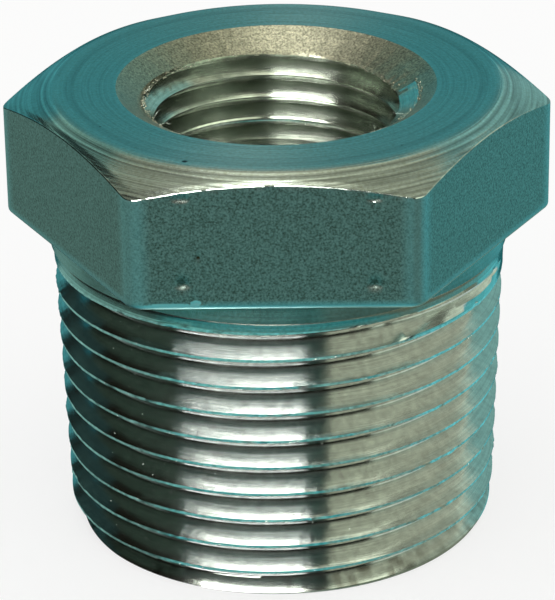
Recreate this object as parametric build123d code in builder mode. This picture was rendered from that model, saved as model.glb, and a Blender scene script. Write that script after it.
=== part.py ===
from build123d import *

import os
from math import atan, atan2, ceil, degrees, radians, tan

# Hexagon head, a cast prism whose outer face and upper chamfer are turned
across_flats = 35.6
corner_radius = 1.3
head_height = 10.15
underside_chamfer = 0.4
face_diameter = 33.1
face_chamfer_angle = 22.8

# Collar between the last groove and the head: a turned flare, then the cast neck
collar_length = 2.2
flare_height = 0.8
neck_diameter = 34.5

# Male taper thread, 1 inch NPT: 11.5 turns to the inch on a 1 in 16 taper
thread_length = 22.1
thread_pitch = 25.4 / 11.5
thread_end_diameter = 32.6
taper_on_diameter = 1 / 16
flank_angle = 30.0
crest_flat = 0.16
lead_chamfer_width = 0.45
lead_chamfer_height = 0.8

# Where the threading tool leaves the work, and over how much of a turn it backs out
tool_stop_turn = 0.875
tool_exit_turns = 0.2

# Bore, drilled for the 1/2 inch NPT female thread and countersunk at the head
bore_diameter = 18.3
countersink_diameter = 23.8
countersink_angle = 120.0
bore_end_chamfer = 0.5

# Heights and radii that follow from the sizes above
head_base = thread_length + collar_length
overall_length = head_base + head_height
neck_base = thread_length + flare_height
end_radius = thread_end_diameter / 2
taper_slope = taper_on_diameter / 2
collar_radius = end_radius + taper_slope * thread_length
lead_top_radius = end_radius + taper_slope * lead_chamfer_height

# The groove between two turns, as the threading tool cuts it
flank_slope = tan(radians(flank_angle))
groove_mouth = thread_pitch - crest_flat
groove_depth = groove_mouth / 2 / flank_slope

# The tool stands a little proud of the crests, but its own turns never meet
tool_reach = crest_flat / 4 / flank_slope
exit_reach = tool_reach + max(neck_diameter / 2 - collar_radius, 0)
exit_climb = groove_depth + exit_reach
exit_rise = tool_exit_turns * thread_pitch

# The groove ends against the collar, and its turns are counted down from there
stop_height = thread_length - groove_mouth / 2
whole_turns = ceil(thread_length / thread_pitch)


def sweep_tool(height, rise, cone_angle, reach):
    """Sweep the tool's section up a right-hand helix that starts over the X axis."""
    radius = end_radius + taper_slope * height
    mouth = groove_mouth + 2 * reach * flank_slope
    with BuildLine() as course:
        Helix(thread_pitch, rise, radius, center=(0, 0, height), cone_angle=cone_angle)
    with BuildPart() as tool:
        with BuildSketch(Plane.XZ):
            with BuildLine():
                Polyline(
                    (radius - groove_depth, height),
                    (radius + reach, height - mouth / 2),
                    (radius + reach, height + mouth / 2),
                    close=True,
                )
            make_face()
        sweep(path=course.edges()[0], is_frenet=True)
    return tool.part


turn_starts = [stop_height - (turn + 1) * thread_pitch for turn in range(whole_turns)]
taper_angle = degrees(atan(taper_slope))
exit_angle = degrees(atan2(exit_climb, exit_rise))
groove_turns = [sweep_tool(start, thread_pitch, taper_angle, tool_reach) for start in turn_starts]
tool_exit = sweep_tool(stop_height, exit_rise, exit_angle, exit_reach)

with BuildPart() as hex_bushing:
    # Head as it is cast: corners rounded, lower edge broken
    with BuildSketch(Plane.XY.offset(head_base)):
        RegularPolygon(across_flats / 2, 6, major_radius=False)
        fillet(vertices(), corner_radius)
    extrude(amount=head_height)
    chamfer(faces().sort_by(Axis.Z)[0].edges(), underside_chamfer)

    # Turned chamfer: the cone leaves a curved upper edge on each flat
    with BuildSketch(Plane.XZ):
        with BuildLine():
            chamfer_reach = across_flats - face_diameter / 2
            chamfer_drop = chamfer_reach * tan(radians(face_chamfer_angle))
            Polyline(
                (face_diameter / 2, overall_length),
                (across_flats, overall_length),
                (across_flats, overall_length - chamfer_drop),
                close=True,
            )
        make_face()
    revolve(axis=Axis.Z, mode=Mode.SUBTRACT)

    # Shank: lead chamfer, taper cone, flare and neck, up into the head
    with BuildSketch(Plane.XZ):
        with BuildLine():
            Polyline(
                (0, 0),
                (end_radius - lead_chamfer_width, 0),
                (lead_top_radius, lead_chamfer_height),
                (collar_radius, thread_length),
                (neck_diameter / 2, neck_base),
                (neck_diameter / 2, head_base + head_height / 2),
                (0, head_base + head_height / 2),
                close=True,
            )
        make_face()
    revolve(axis=Axis.Z)

    # Through bore with its countersink in the face of the head
    with Locations((0, 0, overall_length)):
        CounterSinkHole(bore_diameter / 2, countersink_diameter / 2, counter_sink_angle=countersink_angle)
    end_edges = faces().sort_by(Axis.Z)[0].edges().filter_by(GeomType.CIRCLE)
    chamfer(end_edges.sort_by(SortBy.RADIUS)[0], bore_end_chamfer)

    # Male thread: the groove turn by turn, then the short climb where the tool backs out
    for groove in [*groove_turns, tool_exit]:
        add(groove, rotation=(0, 0, 360 * tool_stop_turn), mode=Mode.SUBTRACT)

hex_bushing.part.label = "hex_bushing"

os.makedirs("parts", exist_ok=True)
export_step(hex_bushing.part, "parts/hex_bushing.step")

print("turns of male thread on the shank:", round(thread_length / thread_pitch, 2))
print("overall length:", round(overall_length, 3), "groove depth:", round(groove_depth, 3))
print("volume in cubic millimetres:", round(hex_bushing.part.volume, 1))
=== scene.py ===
import random
from math import atan2, ceil, cos, floor, hypot, pi, radians, sin, tan

import bmesh
import bpy
from mathutils import Matrix, Vector, noise


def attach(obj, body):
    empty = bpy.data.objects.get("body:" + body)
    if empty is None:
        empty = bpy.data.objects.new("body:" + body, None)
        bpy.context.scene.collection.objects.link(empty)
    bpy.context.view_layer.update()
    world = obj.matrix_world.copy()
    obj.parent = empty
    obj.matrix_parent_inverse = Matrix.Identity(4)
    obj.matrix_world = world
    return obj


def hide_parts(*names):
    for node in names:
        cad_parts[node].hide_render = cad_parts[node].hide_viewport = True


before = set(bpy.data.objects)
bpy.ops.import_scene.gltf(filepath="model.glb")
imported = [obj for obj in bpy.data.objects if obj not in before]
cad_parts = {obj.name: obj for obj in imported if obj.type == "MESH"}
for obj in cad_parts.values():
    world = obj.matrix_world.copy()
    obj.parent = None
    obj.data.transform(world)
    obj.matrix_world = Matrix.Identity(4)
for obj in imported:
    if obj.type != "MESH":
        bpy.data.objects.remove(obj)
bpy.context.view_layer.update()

# Sizes, in mm
MM = 0.001

# Hexagon head
across_flats = 35.6
front = -across_flats / 2
corner_radius = 1.3
head_base = 24.3
top = 34.45
face_radius = 16.55
chamfer_slope = tan(radians(22.8))
under_edge = 0.4
upper_edge = 0.15

# Shank and male thread, 1 inch NPT
male_pitch = 25.4 / 11.5
male_end_radius = 16.3
taper = 1 / 32
thread_top = 22.1
neck_base = 22.9
neck_radius = 17.25
crest_flat = 0.20
groove_mouth = male_pitch - crest_flat
flank = tan(radians(30))
groove_depth = groove_mouth / 2 / flank
root_round = 0.20
flank_margin = 0.013
stop_height = thread_top - groove_mouth / 2
stop_angle = radians(299.5)
exit_turns = 0.2
lead_width = 0.45
lead_height = 0.8

# Burrs along the male crests: how far they reach, how long a torn patch and a single tear are
burr_reach = 0.14
burr_patch = 2.6
burr_tear = 0.42
burr_height = 0.17

# Bore and female thread, 1/2 inch NPT
female_pitch = 25.4 / 14
bore_radius = 9.15
female_mouth_radius = 10.68
female_crest_height = 31.38
female_length = 17.0
female_fade = 3.6
rim_radius = 11.9
rim_slope = tan(radians(30))
end_chamfer = 0.5

# Countersink: waves that the chattering tool left, and the ragged lip where it meets the thread
chatter_depth = 0.05
chatter_length = 0.9
lip_reach = 0.16
lip_depth = 0.30
lip_tear = 0.5


# Mesh tools: a full turn is a 16th spun once, then copied and doubled, which is quicker
SECTORS = 16
SEAM_REACH = 0.02
CUT_REACH = 0.01
SNAP_REACH = 0.011
LEVEL_REACH = 0.002
JOIN_REACH = 0.0005


def spread(mesh_point, seed=0.0):
    """Soft noise from -1 to 1 at a point in mm; the seed shifts it."""
    return noise.noise(Vector(mesh_point) + Vector((seed, seed * 0.7, -seed)))


def along(angle, height, size, seed):
    """Noise that runs round the part: size is a feature's length in mm round the thread."""
    r = 17.0 / size
    return noise.noise(Vector((cos(angle) * r, sin(angle) * r, height / size + seed)))


def helix_tube(pitch, groove, low, high, steps, offsets, radius):
    """A tube whose rows climb like the thread: one turn's rows, stacked, spun once round.
    groove: a height of the groove's centre over the X axis, from which the rows are counted."""
    tube = bmesh.new()
    first = floor((low - groove) / pitch) - 1
    turns = ceil((high - low) / pitch) + 3
    heights = [groove + (first + turn + part) * pitch for turn in range(turns) for part in offsets]
    verts = [tube.verts.new((radius, 0, height)) for height in heights]
    chain = [tube.edges.new(pair) for pair in zip(verts, verts[1:])]
    angle = 2 * pi / SECTORS
    bmesh.ops.spin(tube, geom=verts + chain, cent=(0, 0, 0), axis=(0, 0, 1),
                   dvec=(0, 0, pitch / steps), angle=angle, steps=steps // SECTORS)
    while angle < 2 * pi - 0.001:
        everything = tube.verts[:] + tube.edges[:] + tube.faces[:]
        copied = bmesh.ops.duplicate(tube, geom=everything)["geom"]
        copied = [g for g in copied if isinstance(g, bmesh.types.BMVert)]
        bmesh.ops.rotate(tube, verts=copied, cent=(0, 0, 0), matrix=Matrix.Rotation(angle, 3, "Z"))
        bmesh.ops.translate(tube, verts=copied, vec=(0, 0, pitch * angle / (2 * pi)))
        angle *= 2
    bmesh.ops.remove_doubles(tube, verts=tube.verts, dist=SEAM_REACH)
    cut(tube, low, clear_inner=True)
    cut(tube, high, clear_outer=True)
    return tube


def cut(mesh, height, **clear):
    """Cut rows at a level, and put what lies within the cut's reach exactly on it."""
    everything = mesh.verts[:] + mesh.edges[:] + mesh.faces[:]
    bmesh.ops.bisect_plane(mesh, geom=everything, dist=CUT_REACH, plane_co=(0, 0, height),
                           plane_no=(0, 0, 1), **clear)
    for v in mesh.verts:
        if abs(v.co.z - height) < SNAP_REACH:
            v.co.z = height


def open_edges(mesh, height):
    """The mesh's open edges that lie at a level."""
    return [e for e in mesh.edges if len(e.link_faces) < 2
            and all(abs(v.co.z - height) < LEVEL_REACH for v in e.verts)]


def set_radius(verts, radius_at):
    """Put each vertex at the radius that its angle and height call for."""
    for v in verts:
        angle = atan2(v.co.y, v.co.x)
        r = radius_at(angle, v.co.z)
        v.co.x = r * cos(angle)
        v.co.y = r * sin(angle)


# Male thread
def groove_place(angle, height):
    """Turns past where the tool stopped, and height off the nearest groove's centre."""
    ahead = ((angle - stop_angle) / (2 * pi)) % 1.0
    turn = min(floor((height - stop_height) / male_pitch - ahead + 0.5), 0)
    centre = stop_height + (ahead + turn) * male_pitch
    return ahead + turn, height - centre


def blank_radius(height):
    """The turned blank before threading: lead chamfer, taper, flare, neck."""
    if height < lead_height:
        lead_top = male_end_radius + taper * lead_height
        low = male_end_radius - lead_width
        return low + (lead_top - low) * height / lead_height
    if height <= thread_top:
        return male_end_radius + taper * height
    low = male_end_radius + taper * thread_top
    if height < neck_base:
        part = (height - thread_top) / (neck_base - thread_top)
        return low + (neck_radius - low) * (0.3 * part + 0.7 * part ** 6)
    return neck_radius


def male_radius(angle, height):
    """Radius of the threaded shank: what is left of the blank where the groove is cut."""
    blank = blank_radius(height)
    turns, off = groove_place(angle, height)
    on_taper = male_end_radius + taper * height
    # the tool's nose is worn round, so the root is too, and the flanks lie a little shallower
    nose = hypot(off, root_round) if abs(off) < groove_mouth * 0.4 else abs(off) + flank_margin
    depth = (groove_mouth / 2 - nose) / flank
    if turns > 0:
        depth -= (groove_depth + neck_radius - on_taper) * turns / exit_turns
    grooved = on_taper - depth
    crest = min(blank, grooved) if depth > -0.6 else blank
    if height > thread_top:
        return crest
    # the crest's edges are torn in patches, close to the groove's mouth
    edge = 1 - min(1, abs(abs(off) - groove_mouth / 2) / burr_reach)
    if edge > 0 and height > 0.6:
        patch = max(0, along(angle, height, burr_patch, 11) + 0.12)
        torn = along(angle, height, burr_tear, 31)
        crest += edge * patch * (burr_height * torn + 0.02)
    return crest


# Rows of one turn as shares of the pitch, from the groove's centre out to the crest's edge
crest_row = groove_mouth / 2 / male_pitch
male_rows = [0, 0.045, 0.10, 0.20, 0.40, crest_row]
male_rows = male_rows + [1 - part for part in reversed(male_rows[1:])]
male_groove = stop_height + (-stop_angle / (2 * pi)) % 1.0 * male_pitch
shank_steps = 352
shank_spin_radius = 17.0
shank = helix_tube(male_pitch, male_groove, 0.0, head_base, shank_steps, male_rows,
                   shank_spin_radius)
# Rows at each change of the profile, and two more where the flare curves up into the neck
for height in (lead_height, thread_top, neck_base - 0.2, neck_base - 0.1, neck_base):
    cut(shank, height)
set_radius(shank.verts, male_radius)


# Female thread and countersink
def bore_walls(angle, height):
    """Radius of the thread and of the countersink at a place: the larger one is the wall."""
    ahead = ((angle - radians(90)) / (2 * pi)) % 1.0
    centre = female_crest_height + female_pitch / 2 + ahead * female_pitch
    off = (height - centre) / female_pitch
    off = (off - floor(off + 0.5)) * female_pitch
    depth_in = top - height
    cut_depth = female_mouth_radius - bore_radius - depth_in * taper
    fade = min(1, max(0, (female_length - depth_in) / female_fade))
    cut_depth = cut_depth * fade
    thread = bore_radius + max(0, min(cut_depth - abs(off) / flank, cut_depth - 0.04))
    cone = bore_radius + (height - (top - (rim_radius - bore_radius) * rim_slope)) / rim_slope
    if cone > bore_radius:
        waves = along(angle, height, chatter_length, 3) * min(1, (top - height) / 0.2)
        cone += chatter_depth * waves
    return thread, cone


def bore_surface(angle, height):
    """Radius of the bore as it is seen: thread or countersink, less the ragged lip between."""
    thread, cone = bore_walls(angle, height)
    wall = max(thread, cone, bore_radius)
    if cone > bore_radius and height < top - 0.05:
        # the countersink's edge over the thread is torn up into a ragged lip
        lip = max(0, 1 - abs(cone - thread - 0.03) / lip_reach)
        wall -= lip * lip_depth * max(0, along(angle, height, lip_tear, 17) + 0.20)
    return wall


# Rows of one turn as shares of the pitch, from the groove's centre out
female_rows = [0, 0.02, 0.22, 0.40, 0.47]
female_rows = female_rows + [1 - part for part in reversed(female_rows[1:])]
bore_low = top - female_length - 0.6
bore_steps = 256
bore_spin_radius = 10.0
female_groove = female_crest_height + female_pitch * 1.25
bore = helix_tube(female_pitch, female_groove, bore_low, top, bore_steps, female_rows,
                  bore_spin_radius)
set_radius(bore.verts, bore_surface)
# Below the thread's end the drilled bore runs on plain, down to its chamfer at the end face
low_loop = open_edges(bore, bore_low)
for height, radius in ((end_chamfer, bore_radius), (0.0, bore_radius + end_chamfer)):
    grown = bmesh.ops.extrude_edge_only(bore, edges=low_loop)["geom"]
    new_verts = [g for g in grown if isinstance(g, bmesh.types.BMVert)]
    for v in new_verts:
        v.co.z = height
    set_radius(new_verts, lambda angle, z, r=radius: r)
    low_loop = [g for g in grown if isinstance(g, bmesh.types.BMEdge)
                and all(v in new_verts for v in g.verts)]

# Head
head = bmesh.new()
bmesh.ops.create_circle(head, cap_ends=True, radius=across_flats / 2 / cos(pi / 6), segments=6,
                        matrix=Matrix.Translation((0, 0, head_base)) @ Matrix.Rotation(pi / 6, 4, "Z"))
bmesh.ops.bevel(head, geom=head.verts[:], offset=corner_radius * tan(pi / 6), offset_type="OFFSET",
                segments=8, profile=0.5, affect="VERTICES", material=-1)
flat_edges = [e for e in head.edges if e.calc_length() > 5]
front_edges = [e for e in flat_edges if all(v.co.y < front + 0.8 for v in e.verts)]
side_edges = [e for e in flat_edges if e not in front_edges]
# The front flat shows its torn edge and its dents, so it has more columns
bmesh.ops.subdivide_edges(head, edges=side_edges, cuts=40)
bmesh.ops.subdivide_edges(head, edges=front_edges, cuts=99)
bmesh.ops.delete(head, geom=head.faces[:], context="FACES_ONLY")


def upper_line(x, y):
    """Height where the turned chamfer meets the hexagon's side at this point."""
    return top - (hypot(x, y) - face_radius) * chamfer_slope


def inward(v, amount):
    """The hexagon's section drawn in by an amount: flats and corners move alike."""
    r = hypot(v.x, v.y)
    return Vector((v.x * (1 - amount / r), v.y * (1 - amount / r), v.z))


# Each vertex of the growing loop keeps its point on the hexagon's outline
outline = {v: v.co.copy() for v in head.verts}
ring_edges = head.edges[:]


def grow(edges, outline, place):
    """Extrude the loop and put each new vertex where place says for its outline point."""
    grown = bmesh.ops.extrude_edge_only(head, edges=edges)["geom"]
    new = [g for g in grown if isinstance(g, bmesh.types.BMVert)]
    fresh = {}
    old_at = {}
    for v, p in outline.items():
        old_at[tuple(round(c, 5) for c in v.co)] = p
    for v in new:
        fresh[v] = old_at[tuple(round(c, 5) for c in v.co)]
    for v, p in fresh.items():
        v.co = place(p)
    kept = set(new)
    edges = [g for g in grown if isinstance(g, bmesh.types.BMEdge) and all(v in kept for v in g.verts)]
    return edges, fresh


for v, p in outline.items():
    v.co = inward(p, under_edge)
places = []
for part in (0.25, 0.5, 0.75, 1.0):
    turn = part * pi / 2
    places.append(lambda p, t=turn: inward(p, under_edge * (1 - sin(t)))
                  + Vector((0, 0, under_edge * (1 - cos(t)))))
flat_rows = 22
for row in range(1, flat_rows + 1):
    def place(p, row=row):
        low = head_base + under_edge
        high = upper_line(p.x, p.y) - upper_edge
        return Vector((p.x, p.y, low + (high - low) * row / flat_rows))
    places.append(place)


def edge_burr(p):
    """How far the turned edge is torn and rolled over the flat here, in mm."""
    if p.y > front + 0.1 or abs(p.x) > 10.3:
        return 0.25 + 0.15 * spread((p.x * 1.2, p.y * 1.2, 4))
    return 0.55 + 0.9 * spread((p.x * 1.1, 3.1, 7)) + 0.8 * spread((p.x * 2.7, 9.3, 2))


# The edge between flat and chamfer, rolled over by the tool
roll_turn = pi / 2.6
roll_width = 1.6
for part in (0.3, 0.65, 1.0):
    def place(p, part=part):
        rolled = max(0.1, edge_burr(p)) * 0.05
        back = upper_edge * (1 - cos(part * roll_turn)) * roll_width
        q = inward(p, max(0.0, back - rolled * sin(part * pi)))
        z = upper_line(p.x, p.y) - upper_edge * (1 - sin(part * roll_turn)) - rolled * (1 - part)
        return Vector((q.x, q.y, min(z, upper_line(q.x, q.y))))
    places.append(place)
cone_rows = 8
for row in range(1, cone_rows + 1):
    def place(p, part=row / cone_rows):
        r0 = hypot(p.x, p.y) - upper_edge * 1.2
        r = r0 + (face_radius - r0) * part
        z = top - (r - face_radius) * chamfer_slope
        return Vector((p.x / hypot(p.x, p.y) * r, p.y / hypot(p.x, p.y) * r, z))
    places.append(place)
face_rows = 8
for row in range(1, face_rows + 1):
    def place(p, part=row / face_rows):
        r = face_radius + (rim_radius + 0.25 - face_radius) * part
        return Vector((p.x / hypot(p.x, p.y) * r, p.y / hypot(p.x, p.y) * r, top))
    places.append(place)
edges = ring_edges
for place in places:
    edges, outline = grow(edges, outline, place)

# Dents and marks on the front flat: x, z, half width, half height, depth
flat_marks = [
    (-6.56, 32.86, 0.40, 0.14, 0.12), (7.02, 32.76, 0.36, 0.12, 0.10),
    (-6.56, 26.22, 0.36, 0.17, 0.11), (7.02, 26.12, 0.36, 0.17, 0.11),
    (-5.40, 28.40, 0.10, 0.10, 0.03), (-5.68, 24.86, 0.30, 0.24, 0.03), (-7.10, 24.72, 1.30, 0.10, 0.02),
]
# Painted highlight along the burr at the flat's lower edge: x, z, half width, half height
highlight_spots = [(-5.68, 24.84, 0.30, 0.24), (-7.40, 24.66, 1.70, 0.16), (-8.30, 24.60, 0.9, 0.2)]
for x, z, half_wide, half_high, depth in flat_marks:
    wide = half_wide * 1.6 + 0.2
    high = half_high * 1.6 + 0.35
    near = [e for e in head.edges if all(
        v.co.y < front + 0.3 and abs(v.co.x - x) < wide and abs(v.co.z - z) < high for v in e.verts)]
    bmesh.ops.subdivide_edges(head, edges=near, cuts=3, use_grid_fill=True)
for v in head.verts:
    if v.co.y > front + 0.35 or v.co.z > top - 0.3:
        continue
    for x, z, half_wide, half_high, depth in flat_marks:
        # steep below, where the light catches it, and easy above
        reach = half_high if v.co.z < z else half_high * 2.2
        away = ((v.co.x - x) / half_wide) ** 2 + ((v.co.z - z) / reach) ** 2
        if away < 4:
            torn = 1 + 0.5 * spread((v.co.x * 3, v.co.z * 3, x))
            v.co.y += depth * torn * max(0, 1 - away / 4) ** 2

# Grime caught in the turned face: x, y and radius
face_spots = [(-6.3, -14.7, 0.13), (9.0, -12.1, 0.05), (-12.6, -8.2, 0.05)]
for x, y, size in face_spots:
    for reach in (0.9, 0.45):
        near = [e for e in head.edges if all(
            v.co.z > top - 0.01 and hypot(v.co.x - x, v.co.y - y) < reach for v in e.verts)]
        bmesh.ops.subdivide_edges(head, edges=near, cuts=3, use_grid_fill=True)

# Shank, bore and head joined in one closed mesh
body = bmesh.new()
for part in (shank, bore, head):
    mesh = bpy.data.meshes.new("part")
    part.to_mesh(mesh)
    part.free()
    body.from_mesh(mesh)
    bpy.data.meshes.remove(mesh)
for height in (0.0, head_base, top):
    bmesh.ops.triangle_fill(body, use_beauty=True, use_dissolve=False, edges=open_edges(body, height))
bmesh.ops.remove_doubles(body, verts=body.verts, dist=JOIN_REACH)
bmesh.ops.recalc_face_normals(body, faces=body.faces)

CAST, TURNED, THREADED, SUNK, CHAMFERED, CREST, TAPPED = range(7)
cone_low = top - (rim_radius - bore_radius) * rim_slope


def worked_surface(face):
    """How a face was worked, by where it lies."""
    c = face.calc_center_median()
    r = hypot(c.x, c.y)
    angle = atan2(c.y, c.x)
    if c.z < 0.001 or (c.z > top - 0.001 and r > rim_radius):
        return TURNED
    if r < rim_radius + 0.1:
        thread_wall, cone_wall = bore_walls(angle, c.z)
        return SUNK if cone_wall > max(thread_wall - 0.04, bore_radius) else TAPPED
    if c.z > head_base - 0.001:
        on_chamfer = c.z > head_base + 3 and r > face_radius - 0.01 and face.normal.z > 0.35
        return CHAMFERED if on_chamfer else CAST
    if c.z > thread_top:
        return TURNED
    off = groove_place(angle, c.z)[1]
    return CREST if abs(off) > groove_mouth / 2 - 0.01 else THREADED


sharp_angle = radians(24)
for face in body.faces:
    face.material_index = worked_surface(face)
    face.smooth = True
for edge in body.edges:
    if len(edge.link_faces) == 2:
        edge.smooth = edge.calc_face_angle(0) < sharp_angle

# Dark marks on the front flat, painted shade on the upper walls of the two lower dents and a black dot: x,
# z, half width, half height, darkest share
dark_flat_spots = [
    (-6.60, 26.52, 0.24, 0.20, 0.6), (7.02, 26.44, 0.24, 0.18, 0.6), (-5.40, 28.40, 0.14, 0.12, 1.0),
]
# How far the head's corners lie from the axis, how wide a highlight is painted along them and how brightly
corner_distance = 20.3
highlight_width = 1.35
highlight_fade = 0.7
corner_highlight = 0.30


def painted_highlight(p):
    """How bright a highlight is painted on the cast skin, 0 to 1: at corners, along the lower edge, in
    spots.
    """
    if hypot(p.x, p.y) <= 17.5 or p.z <= head_base - 0.01:
        return 0
    # painted highlight on the rounded corners
    off_corner = abs((atan2(p.y, p.x) + pi / 6) % (pi / 3) - pi / 6) * corner_distance
    corner = max(0, min(1, (highlight_width - off_corner) / highlight_fade)) * corner_highlight
    # painted teal reflection along the rounded lower edge
    lower = max(0, min(1, (head_base + under_edge + 0.04 - p.z) / 0.10))
    share = max(corner, lower)
    if p.y < front + 0.5:
        # spots of painted highlight on the burr at the flat's lower edge
        for x, z, half_wide, half_high in highlight_spots:
            away = hypot((p.x - x) / half_wide, (p.z - z) / half_high)
            ragged = 1.3 + 0.5 * spread((p.x * 4, p.z * 4, 6))
            share = max(share, min(1, (ragged - away) * 4))
    return share


def grime_and_painted_shade(p):
    """How dark a place is painted, 0 to 1: painted shade in the lower dents and on the neck, grime in the
    face spots and on the first turn, a black dot on the flat.
    """
    r = hypot(p.x, p.y)
    angle = atan2(p.y, p.x)
    share = 0
    # painted shade on the upper walls of the lower dents, and a black dot
    if p.y < front + 0.3 and p.z > head_base:
        for x, z, half_wide, half_high, most in dark_flat_spots:
            away = ((p.x - x) / half_wide) ** 2 + ((p.z - z) / half_high) ** 2
            share = max(share, min(most, 1.4 * max(0, 1 - away / 1.6)))
    if p.z > top - 0.01:
        for x, y, size in face_spots:
            away = hypot(p.x - x, p.y - y)
            if away < size * 2:
                share = max(share, min(1, 2 - away / size))
    if p.z < 1.6 and r > 15:
        patch = max(0, along(angle, 0, 6, 9) + 0.45)
        share = 0.8 * max(0, min(1, 2.2 * along(angle, p.z, 0.8, 5) + 0.2)) * patch
    on_head = r > 17.5 and p.z > head_base - 0.01
    # painted shade on the neck, under the overhanging head
    if not on_head and r > 16.9 and neck_base - 0.01 < p.z < head_base:
        share = 0.30 + 0.25 * along(angle, p.z, 2.2, 8)
    return share


highlight_paint = body.verts.layers.float.new("highlight_paint")
grime_and_shade_mask = body.verts.layers.float.new("grime_and_shade_mask")
for v in body.verts:
    v[highlight_paint] = painted_highlight(v.co)
    v[grime_and_shade_mask] = grime_and_painted_shade(v.co)
bmesh.ops.scale(body, vec=(MM, MM, MM), verts=body.verts)
bushing_mesh = bpy.data.meshes.new("bushing_body")
body.to_mesh(bushing_mesh)
body.free()
bushing = bpy.data.objects.new("bushing_body", bushing_mesh)
bpy.context.scene.collection.objects.link(bushing)


# Materials
def linear(colour):
    """An sRGB hex value such as "7f9c9a" as Blender's linear colour."""
    parts = [int(colour[i:i + 2], 16) / 255 for i in (0, 2, 4)]
    return [c / 12.92 if c < 0.04045 else ((c + 0.055) / 1.055) ** 2.4 for c in parts] + [1.0]


def add(tree, kind, settings=None, **links):
    """A node with its settings and input values; a value that is a socket is linked."""
    node = tree.nodes.new(kind)
    for name, value in (settings or {}).items():
        setattr(node, name, value)
    for name, value in links.items():
        key = int(name[1:]) if name[0] == "_" else name.replace("_", " ")
        socket = node.inputs[key]
        if isinstance(value, bpy.types.NodeSocket):
            tree.links.new(value, socket)
        else:
            socket.default_value = value
    return node


def steel(name, tints, roughness, anisotropic, grain, grain_depth, ring, ring_depth, ring_shade,
          edge=None, grime_and_shade_colour=None):
    """Stainless steel by how it was worked. tints: dark, middle and light hex values of its grain;
    grain and ring: size of the pits and spacing of the tool marks in mm, with their depths;
    ring_shade: how much the tool marks darken and lighten the metal;
    edge: the hex value of a teal-white highlight painted on edges; soil: of dark paint, grime in some places
    and painted shade in others."""
    material = bpy.data.materials.new(name)
    material.use_nodes = True
    tree = material.node_tree
    tree.nodes.clear()
    place = add(tree, "ShaderNodeTexCoord").outputs["Object"]
    split = add(tree, "ShaderNodeSeparateXYZ", Vector=place)
    level = add(tree, "ShaderNodeCombineXYZ", X=split.outputs["X"], Y=split.outputs["Y"])
    radius = add(tree, "ShaderNodeVectorMath", {"operation": "LENGTH"}, _0=level.outputs[0])
    # rings: the same radius and height all the way round, but drifting slowly along the turn
    drift = add(tree, "ShaderNodeTexNoise", Vector=place, Scale=1 / (9 * MM), Detail=1.0)
    rows = add(tree, "ShaderNodeCombineXYZ", X=radius.outputs["Value"], Z=split.outputs["Z"])
    drifting = add(tree, "ShaderNodeVectorMath", {"operation": "MULTIPLY_ADD"}, _0=drift.outputs["Color"],
                   _1=(0.35 * MM, 0.0, 0.35 * MM), _2=rows.outputs[0])
    rings = add(tree, "ShaderNodeTexNoise", Vector=drifting.outputs[0], Scale=1 / (ring * MM), Detail=4.0,
                Roughness=0.62)
    pits = add(tree, "ShaderNodeTexNoise", Vector=place, Scale=1 / (grain * MM), Detail=3.0, Roughness=0.6)
    bump = add(tree, "ShaderNodeBump", Strength=1.0, Distance=ring_depth * MM, Height=rings.outputs["Fac"])
    bump = add(tree, "ShaderNodeBump", Strength=1.0, Distance=grain_depth * MM, Height=pits.outputs["Fac"],
               Normal=bump.outputs[0])
    ramp = add(tree, "ShaderNodeValToRGB", Fac=pits.outputs["Fac"])
    stops = ramp.color_ramp.elements
    stops.new(0.5)
    for stop, at, tint in zip(stops, (0.32, 0.5, 0.68), tints):
        stop.position = at
        stop.color = linear(tint)
    shade = add(tree, "ShaderNodeMapRange", Value=rings.outputs["Fac"], From_Min=0.3, From_Max=0.7,
                To_Min=1 - ring_shade, To_Max=1 + ring_shade)
    colour = add(tree, "ShaderNodeVectorMath", {"operation": "SCALE"}, _0=ramp.outputs["Color"],
                 Scale=shade.outputs["Result"]).outputs[0]
    if edge:
        bright = add(tree, "ShaderNodeAttribute", {"attribute_name": "highlight_paint"}).outputs["Fac"]
        colour = add(tree, "ShaderNodeMix", {"data_type": "RGBA"}, _0=bright, _6=colour,
                     _7=linear(edge)).outputs[2]
    if grime_and_shade_colour:
        darkened = add(tree, "ShaderNodeAttribute", {"attribute_name": "grime_and_shade_mask"}).outputs["Fac"]
        colour = add(tree, "ShaderNodeMix", {"data_type": "RGBA"}, _0=darkened, _6=colour,
                     _7=linear(grime_and_shade_colour)).outputs[2]
    tangent = add(tree, "ShaderNodeVectorMath", {"operation": "CROSS_PRODUCT"}, _0=(0, 0, 1), _1=place)
    tangent = add(tree, "ShaderNodeVectorMath", {"operation": "NORMALIZE"}, _0=tangent.outputs[0])
    shader = add(tree, "ShaderNodeBsdfPrincipled", Base_Color=colour, Metallic=1.0,
                 Roughness=roughness, Anisotropic=anisotropic, Anisotropic_Rotation=0.25,
                 Normal=bump.outputs[0], Tangent=tangent.outputs[0])
    add(tree, "ShaderNodeOutputMaterial", Surface=shader.outputs[0])
    return material


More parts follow.
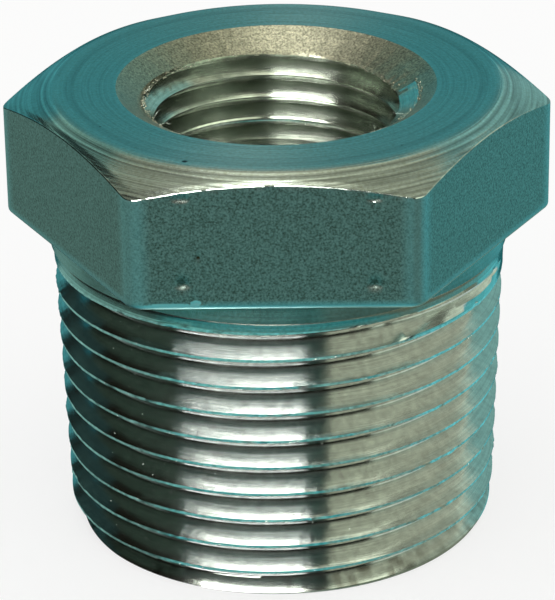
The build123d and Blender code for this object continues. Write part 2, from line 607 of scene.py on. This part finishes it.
# Tool marks closer than about 0.15 mm hardly show in the render, so the threads' marks are drawn
# 0.14 mm apart, wider than a fine threading tool leaves them
materials = [
    # Blasted cast skin: matt, with fine dark pits; painted shade in its lower dents, a black dot, and a
    # painted teal-white highlight along its corners and lower edge
    # The teal in these greys is partly painted reflection of the teal below the table; the rest is the
    # steel's own grey
    steel("blasted_cast_stainless", ("4d554e", "6f7f79", "869691"), 0.42, 0.0, 0.15, 0.012, 0.5, 0.0, 0.0,
          edge="98c8cb", grime_and_shade_colour="3a2e1c"),
    # Turned with a fine feed: a streaked sheen that runs across the tool's rings; its dark paint marks grime
    # spots on the face and painted shade on the neck
    steel("turned_stainless", ("939c92", "9ca6a0", "a4afaa"), 0.24, 0.75, 0.25, 0.0006, 0.30, 0.012, 0.26,
          grime_and_shade_colour="16130f"),
    # Cut by the threading tool: the glossiest surface, mirroring flank in flank
    steel("threaded_stainless", ("a6aca6", "b0b8b2", "b9c1ba"), 0.15, 0.80, 0.6, 0.0004, 0.14, 0.006, 0.18,
          grime_and_shade_colour="4a4334"),
    # Countersunk with a chattering tool: dull and mottled
    steel("rough_bored_stainless", ("5c5c50", "838374", "a3a18c"), 0.36, 0.2, 0.17, 0.02, 0.25, 0.004, 0.12),
    # Chamfer turned with a coarse feed: bright and dark arcs side by side
    steel("coarse_turned_stainless", ("939c92", "9ca6a0", "a4afaa"), 0.19, 0.75, 0.25, 0.0006, 0.34, 0.030,
          0.55),
    # Thread crests, rolled over and torn: broken pale lines
    steel("rolled_crest_stainless", ("a9b3ae", "c9d0cc", "e2e6e3"), 0.24, 0.0, 0.30, 0.020, 0.30, 0.0, 0.1),
    # Cut by the tap: bright flanks with fine steps
    steel("tapped_stainless", ("a5ada3", "b3bbb1", "c0c7bd"), 0.20, 0.90, 0.6, 0.0004, 0.14, 0.009, 0.22),
]
for material in materials:
    bushing_mesh.materials.append(material)


def torn_chip(mesh, place, tangent_angle, size, seed):
    """A torn sliver of metal: a small lump, drawn out along the turn and roughened."""
    made = bmesh.ops.create_icosphere(mesh, subdivisions=1, radius=size)["verts"]
    bmesh.ops.scale(mesh, vec=(0.7, 1.7 + spread((seed, 2, 1)), 0.55), verts=made)
    for v in made:
        v.co *= 1 + 0.55 * spread(v.co * (2 / size), seed)
    tilt = Matrix.Rotation(0.8 * spread((seed, 5, 3)), 3, "X")
    bmesh.ops.rotate(mesh, verts=made, cent=(0, 0, 0), matrix=tilt)
    bmesh.ops.rotate(mesh, verts=made, cent=(0, 0, 0), matrix=Matrix.Rotation(tangent_angle, 3, "Z"))
    bmesh.ops.translate(mesh, verts=made, vec=place)


def finished_piece(name, mesh, material):
    """A small steel piece of its own that rides with the bushing."""
    for face in mesh.faces:
        face.smooth = True
    bmesh.ops.scale(mesh, vec=(MM, MM, MM), verts=mesh.verts)
    data = bpy.data.meshes.new(name)
    mesh.to_mesh(data)
    mesh.free()
    piece = bpy.data.objects.new(name, data)
    bpy.context.scene.collection.objects.link(piece)
    data.materials.append(material)
    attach(piece, "root")
    return piece


def crest_height(angle, turn):
    """Height of the male crest at an angle, counted down from the collar."""
    ahead = ((angle - stop_angle) / (2 * pi)) % 1.0
    return stop_height + male_pitch / 2 + (ahead - turn) * male_pitch


def lip_height(angle):
    """Height at which the countersink gives way to the thread, coming down from the face."""
    z = top - 0.1
    while z > cone_low + 0.02:
        thread_wall, cone_wall = bore_walls(angle, z)
        if thread_wall > cone_wall:
            break
        z -= 0.02
    return z


rng = random.Random(7)


def chip_at(mesh, angle, r, z, size):
    """A torn chip at a place on the thread, with a shape of its own."""
    torn_chip(mesh, (r * cos(angle), r * sin(angle), z), angle, size, rng.uniform(0, 50))


# Where the crest is torn most: bearing in degrees, height, spread in degrees, chips
torn_places = [
    (-118, 13.4, 4, 9), (-98, 13.2, 9, 14), (-86, 13.2, 4, 9), (-107, 4.0, 3, 6), (-80, 20.1, 6, 10),
    (-32, 18.1, 3, 5), (-25, 16.0, 3, 5), (-32, 6.8, 3, 4), (-66, 17.9, 3, 3), (-95, 8.6, 6, 5),
    (-112, 1.9, 5, 5), (-90, 6.3, 8, 6), (-101, 17.8, 4, 4), (60, 12, 40, 18), (150, 9, 50, 22),
]
stray_chips = 110
flank_specks = 130
lip_chips = 460
crest_burrs = bmesh.new()
for bearing, height, width, count in torn_places:
    for _ in range(count):
        angle = radians(rng.gauss(bearing, width / 2))
        turn = round((crest_height(angle, 0) - height) / male_pitch)
        z = crest_height(angle, turn) - rng.uniform(0.02, 0.14)
        r = male_end_radius + taper * z - rng.uniform(0.0, 0.05)
        chip_at(crest_burrs, angle, r, z, rng.uniform(0.035, 0.085))
for _ in range(stray_chips):
    angle = rng.uniform(-pi, pi)
    z = crest_height(angle, rng.randrange(0, 9)) - rng.uniform(-0.02, 0.10)
    if z < 1.0:
        continue
    chip_at(crest_burrs, angle, male_end_radius + taper * z - 0.02, z, rng.uniform(0.02, 0.045))
# Specks of swarf left lying on the flanks, most of them at the left of the front
for _ in range(flank_specks):
    angle = radians(rng.choice([-140, -128, -118, -80]) + rng.gauss(0, 7))
    z = rng.uniform(1.5, 20.5)
    chip_at(crest_burrs, angle, male_radius(angle, z), z, rng.uniform(0.02, 0.05))
finished_piece("crest_burrs", crest_burrs, materials[CREST])

# The countersink's ragged lip, thicker at six bearings
lip_burrs = bmesh.new()
for _ in range(lip_chips):
    angle = rng.uniform(-pi, pi)
    if rng.random() < 0.45:
        angle = radians(rng.choice([175, -160, 160, 25, 5, -135]) + rng.gauss(0, 16))
        angle = atan2(sin(angle), cos(angle))
    z = lip_height(angle) + rng.gauss(0.05, 0.05)
    r = bore_surface(angle, z) - 0.02
    chip_at(lip_burrs, angle, r, min(z, top - 0.12), rng.uniform(0.03, 0.09))
finished_piece("lip_burrs", lip_burrs, materials[SUNK])

# Hairs of swarf left in the bore: bearing in degrees and height of each root
hairs = bpy.data.curves.new("swarf_hairs", "CURVE")
hairs.dimensions = "3D"
hairs.bevel_depth = 0.014 * MM
hairs.bevel_resolution = 1
hairs.use_fill_caps = True
hair_roots = [
    (212, 33.2), (205, 33.3), (190, 33.4), (222, 33.1), (172, 33.3), (318, 33.0),
    (308, 33.1), (300, 33.0), (262, 32.9), (84, 28.4), (340, 33.2), (20, 33.5),
]
for bearing, z in hair_roots:
    spline = hairs.splines.new("NURBS")
    spline.points.add(5)
    angle = radians(bearing)
    point = Vector((cos(angle), sin(angle), 0)) * (bore_surface(atan2(sin(angle), cos(angle)), z) - 0.02)
    point.z = z
    way = Vector((-cos(angle), -sin(angle), 0.4)) + Vector([rng.uniform(-0.6, 0.6) for _ in range(3)])
    for step, knot in enumerate(spline.points):
        knot.co = (*(point * MM), 1)
        knot.radius = 1.2 - 0.15 * step
        point = point + way.normalized() * rng.uniform(0.16, 0.3)
        way = way.normalized() + Vector([rng.uniform(-0.7, 0.7) for _ in range(3)])
    spline.order_u = 3
    spline.use_endpoint_u = True
held = bpy.data.objects.new("hair_curve", hairs)
bpy.context.scene.collection.objects.link(held)
hair_mesh = bpy.data.meshes.new_from_object(held)
hair_mesh.name = "swarf_hairs"
bpy.data.objects.remove(held)
swarf = bpy.data.objects.new("swarf_hairs", hair_mesh)
bpy.context.scene.collection.objects.link(swarf)
hair_mesh.materials.clear()
hair_mesh.materials.append(materials[TURNED])
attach(swarf, "root")

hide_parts("hex_bushing")
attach(bushing, "root")


# Studio
def glow(name, colour, strength, folded):
    """A card's light. A folded card shows only from the second reflection on, deep in a groove."""
    material = bpy.data.materials.new(name)
    material.use_nodes = True
    tree = material.node_tree
    tree.nodes.clear()
    lamp = add(tree, "ShaderNodeEmission", Color=linear(colour), Strength=strength)
    if folded:
        bounces = add(tree, "ShaderNodeLightPath").outputs["Ray Depth"]
        deep = add(tree, "ShaderNodeMath", {"operation": "GREATER_THAN"}, _0=bounces, _1=1.5)
        clear = add(tree, "ShaderNodeBsdfTransparent", Color=(1, 1, 1, 1))
        lamp = add(tree, "ShaderNodeMixShader", _0=deep.outputs[0], _1=clear.outputs[0], _2=lamp.outputs[0])
    add(tree, "ShaderNodeOutputMaterial", Surface=lamp.outputs[0])
    return material


def card(name, reach, bearings, heights, colour, strength, folded=False):
    """A curved studio card that only the metal's reflections see: a patch of a dome,
    from one bearing to another (degrees round from +X) and from one height to another."""
    mesh = bmesh.new()
    low, high = heights
    levels = [low + (high - low) * step / 12 for step in range(13)]
    points = [(reach * cos(radians(level)), 0, reach * sin(radians(level))) for level in levels]
    arc = [mesh.verts.new(point) for point in points]
    chain = [mesh.edges.new(pair) for pair in zip(arc, arc[1:])]
    turn = Matrix.Rotation(radians(bearings[0]), 3, "Z")
    bmesh.ops.rotate(mesh, verts=arc, cent=(0, 0, 0), matrix=turn)
    bmesh.ops.spin(mesh, geom=arc + chain, cent=(0, 0, 0), axis=(0, 0, 1),
                   angle=radians(bearings[1] - bearings[0]), steps=24)
    stand(name, mesh, colour, strength, folded)


def stand(name, mesh, colour, strength, folded=False):
    """Set a card up so that only the metal's reflections see it."""
    data = bpy.data.meshes.new(name)
    mesh.to_mesh(data)
    mesh.free()
    held = bpy.data.objects.new(name, data)
    bpy.context.scene.collection.objects.link(held)
    data.materials.append(glow(name, colour, strength, folded))
    held.visible_camera = False
    held.visible_diffuse = False
    held.visible_shadow = False
    held.visible_transmission = False
    held.visible_volume_scatter = False


def overhead(name, corners, height, colour, strength):
    """A flat card above the part. corners: left and right of its front edge, then of its back."""
    mesh = bmesh.new()
    bmesh.ops.create_grid(mesh, x_segments=1, y_segments=1, size=1)
    for v, corner in zip(sorted(mesh.verts, key=lambda v: (v.co.y, v.co.x)), corners):
        v.co = (*corner, height)
    stand(name, mesh, colour, strength)


# Overhead: a white softbox a little left of the part, then a dark gap, then a wide dim panel.
# Its sides run towards one point behind, so its edges lie square across the thread's turns.
overhead("softbox_white", [(-0.560, -0.70), (0.066, -0.70), (-0.262, -0.075), (0.026, -0.075)], 0.45,
         "fffdf6", 20.0)
overhead("panel_dim", [(0.250, -0.70), (1.10, -0.70), (0.080, 0.0), (1.10, 0.0)], 0.46, "bfc2b0", 3.6)
overhead("panel_zenith", [(-0.14, -0.07), (0.09, -0.07), (-0.14, 0.055), (0.09, 0.055)], 0.44, "f6f3dc", 2.7)
card("panel_right", 1.3, (-40, 40), (6, 40), "b6beae", 1.9)
card("panel_back", 0.9, (75, 128), (0, 50), "55a9b2", 1.0)
card("panel_back_right", 0.9, (40, 75), (0, 50), "86b4b2", 1.35)
card("panel_back_mid", 0.87, (106, 128), (28, 50), "7fa8a0", 1.5)
card("panel_back_left", 0.88, (128, 150), (0, 40), "3f5c5c", 0.6)
card("panel_back_high", 0.88, (30, 136), (50, 90), "a9a996", 1.6)
card("panel_left", 0.9, (122, 297), (2, 90), "24211b", 0.8)
card("panel_right_high", 1.3, (12, 40), (38, 90), "a9b0a0", 1.3)
card("panel_gap", 1.4, (297, 372), (40, 90), "2b2b24", 0.8)
card("panel_front", 1.4, (297, 320), (0, 40), "2b2b24", 0.8)
# Below the table: what the flats, the crests and the neck reflect
card("under_right", 0.9, (-20, 80), (-31, 0), "62c4cc", 1.25)
card("under_left", 0.9, (80, 205), (-31, 0), "7fb0aa", 1.15)
card("under_front", 0.9, (205, 292), (-32.5, -20), "6db3ae", 1.6)
card("under_front_right", 0.9, (292, 340), (-32.5, -20), "93b4a8", 1.1)
card("under_front_high", 0.9, (205, 340), (-20, 0), "4f7f7a", 0.4)
card("under_teal", 0.9, (205, 340), (-75, -32.5), "3fa9b0", 1.1)
card("under_back", 0.88, (62, 118), (-31, 0), "2f8a90", 0.5)
card("under_dark", 0.9, (120, 205), (-89, -31), "1f1e19", 0.8)
card("under_dim", 0.9, (-20, 120), (-89, -31), "97a18c", 0.75)
# What one flank mirrors of the next: a white block, the dark beside it and the beige to its
# right. No real card could show only there; they are placed for the camera's view.
card("fold_white", 0.80, (236, 284), (-52, -26.2), "ffecf6", 10.0, folded=True)
card("fold_white_left", 0.80, (213, 236), (-52, -24.6), "ffecf6", 10.0, folded=True)
card("fold_gap", 0.80, (284, 296), (-52, -22), "3a3f38", 1.0, folded=True)
card("fold_right", 0.80, (296, 392), (-52, 4), "fff8e6", 1.42, folded=True)
card("fold_right_edge", 0.80, (392, 415), (-30, 14), "9fd0c8", 1.4, folded=True)
card("fold_left", 0.80, (146, 213), (-52, 4), "2f3a34", 3.4, folded=True)
card("fold_edge", 0.80, (95, 146), (-30, 20), "2fb5cf", 1.2, folded=True)

floor_mesh = bmesh.new()
bmesh.ops.create_grid(floor_mesh, x_segments=1, y_segments=1, size=2.0)
bmesh.ops.translate(floor_mesh, verts=floor_mesh.verts, vec=(0, 0, -0.05 * MM))
floor_data = bpy.data.meshes.new("floor")
floor_mesh.to_mesh(floor_data)
floor_mesh.free()
floor_card = bpy.data.objects.new("floor", floor_data)
bpy.context.scene.collection.objects.link(floor_card)
floor_material = bpy.data.materials.new("pale_paper")
floor_material.use_nodes = True
tree = floor_material.node_tree
tree.nodes.clear()
paper = add(tree, "ShaderNodeBsdfDiffuse", Color=linear("f4f4f2"))
white = add(tree, "ShaderNodeEmission", Color=(1, 1, 1, 1), Strength=1.0)
mixed = add(tree, "ShaderNodeMixShader", _0=0.70, _1=paper.outputs[0], _2=white.outputs[0])
add(tree, "ShaderNodeOutputMaterial", Surface=mixed.outputs[0])
floor_data.materials.append(floor_material)
floor_card.visible_glossy = False

world = bpy.data.worlds.new("studio")
world.use_nodes = True
bpy.context.scene.world = world
world.node_tree.nodes.clear()
air = add(world.node_tree, "ShaderNodeBackground", Color=(1, 1, 1, 1), Strength=1.0)
add(world.node_tree, "ShaderNodeOutputWorld", Surface=air.outputs[0])

# Camera: where it stands, in degrees and mm, and its focal length in the photo's pixels
elevation = radians(25.4493)
bearing = radians(0.8896)
roll = radians(0.873)
distance = 263.0106
side_shift = 0.149
focal_pixels = 3447.0
photo_height = 600
sensor = 36
target = Vector((0, 0, 16.6107))
toward = Vector((cos(elevation) * sin(bearing), -cos(elevation) * cos(bearing), sin(elevation)))
right = Vector((cos(bearing), sin(bearing), 0))
up = toward.cross(right)
image_right = right * cos(roll) - up * sin(roll)
image_up = right * sin(roll) + up * cos(roll)
eye = target + toward * distance - image_right * side_shift
camera_data = bpy.data.cameras.new("camera")
camera_data.sensor_width = sensor
camera_data.lens = focal_pixels * sensor / photo_height
camera_data.clip_start = 0.01
camera_data.clip_end = 10
camera = bpy.data.objects.new("camera", camera_data)
bpy.context.scene.collection.objects.link(camera)
axes = Matrix((image_right, image_up, toward)).transposed().to_4x4()
camera.matrix_world = Matrix.Translation(eye * MM) @ axes
bpy.context.scene.camera = camera

bpy.context.scene.view_settings.view_transform = "Standard"
